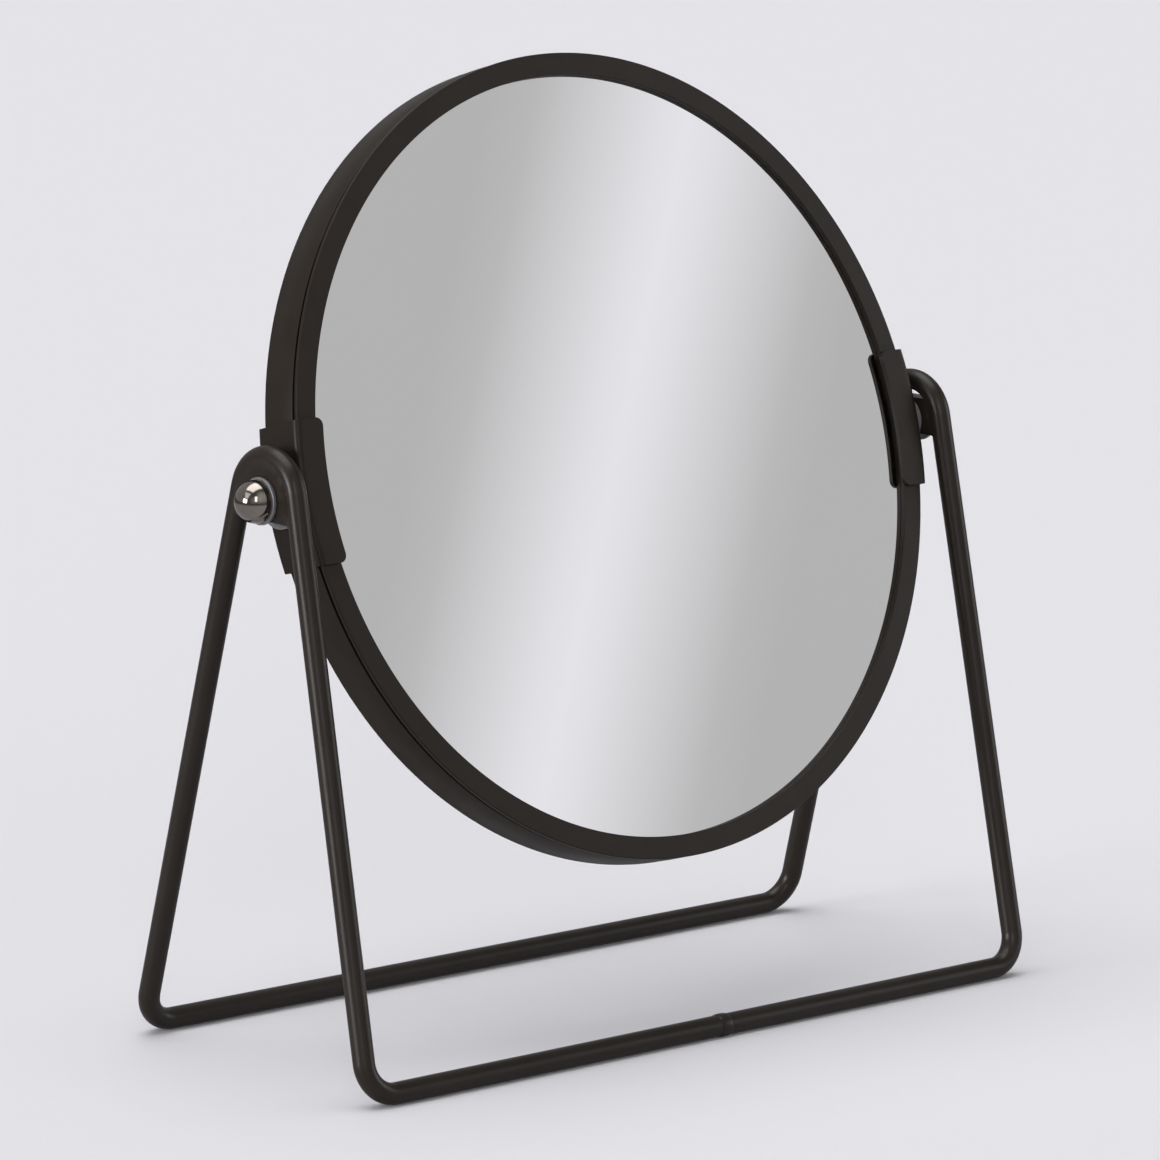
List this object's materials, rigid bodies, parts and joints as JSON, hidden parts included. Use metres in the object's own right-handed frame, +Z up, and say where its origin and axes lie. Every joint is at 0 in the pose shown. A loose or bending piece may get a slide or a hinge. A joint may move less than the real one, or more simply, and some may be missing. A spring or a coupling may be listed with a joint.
{
  "type": "table shaving mirror",
  "caption": "Round double-sided tilting mirror in a dark rim, held by side clips and domed pivot nuts in a free-standing stand bent from round wire.",
  "frame": {"origin": "on the table, midway between the two side frames and under the pivot axis", "axes": "+X to the user's right along the pivot axis, -Y towards the user (the plain glass faces -Y), +Z up"},
  "size_m": [0.1956, 0.0771, 0.2001],
  "materials": {
    "stand_paint": "satin black-brown powder coat",
    "rim_paint": "satin black-brown powder coat",
    "mirror_glass": "polished silvered glass",
    "chrome": "polished",
    "bolt_steel": "zinc-plated",
    "washer_steel": "satin",
    "nylon": "satin grey",
    "card": "matte grey-brown card",
    "foam": "matte black foam"
  },
  "bodies": {
    "stand": {"wire_stand": "stand_paint", "pivot_plate_left": "stand_paint", "pivot_plate_right": "stand_paint"},
    "mirror_head": {"front_bezel": "rim_paint", "rear_bezel": "rim_paint", "rim_band": "rim_paint", "front_glass": "mirror_glass", "rear_glass": "mirror_glass", "backing_card": "card", "foam_ring": "foam", "clip_left": "rim_paint", "clip_right": "rim_paint", "pivot_bolt_left": "bolt_steel", "pivot_bolt_right": "bolt_steel", "spacer_washer_left": "nylon", "spacer_washer_right": "nylon", "outer_washer_left": "washer_steel", "outer_washer_right": "washer_steel", "cap_nut_left": "chrome", "cap_nut_right": "chrome"}
  },
  "joints": [
    {"name": "mirror_tilt", "type": "hinge", "parent": "stand", "child": "mirror_head", "pos_m": [0, 0, 0.1175], "axis": [1, 0, 0], "continuous": true}
  ]
}
